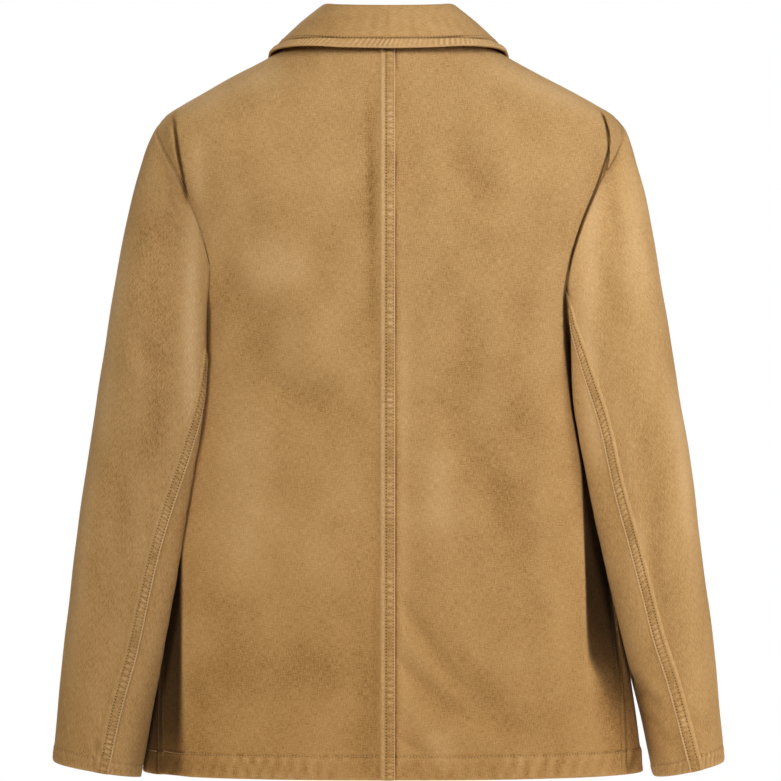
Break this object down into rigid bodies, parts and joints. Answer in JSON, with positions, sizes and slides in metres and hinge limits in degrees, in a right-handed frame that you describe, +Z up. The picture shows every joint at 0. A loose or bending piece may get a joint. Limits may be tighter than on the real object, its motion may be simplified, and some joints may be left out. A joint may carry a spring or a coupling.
{
  "type": "suit jacket",
  "caption": "Suit jacket in tan cotton, single-breasted with notch lapels, a felled centre back seam and felled two-piece sleeves, hanging hollow as if worn.",
  "frame": {"origin": "centre of the neck opening at the height of the two neck points, where the wearer's neck and shoulders hold it up", "axes": "+Z up along the wearer's neck, -Y out of the garment's front, +X to the wearer's left"},
  "size_m": [0.6682, 0.2421, 0.7692],
  "materials": {
    "cloth": "matt, garment-dyed cotton twill",
    "button": "satin, horn-like"
  },
  "bodies": {
    "root": {"back_left": "cloth", "back_right": "cloth", "front_left": "cloth", "front_right": "cloth", "lapel_left": "cloth", "lapel_right": "cloth", "collar": "cloth", "sleeve_left_top": "cloth", "sleeve_left_under": "cloth", "sleeve_right_top": "cloth", "sleeve_right_under": "cloth", "button_top": "button", "button_middle": "button", "button_bottom": "button"}
  },
  "joints": []
}
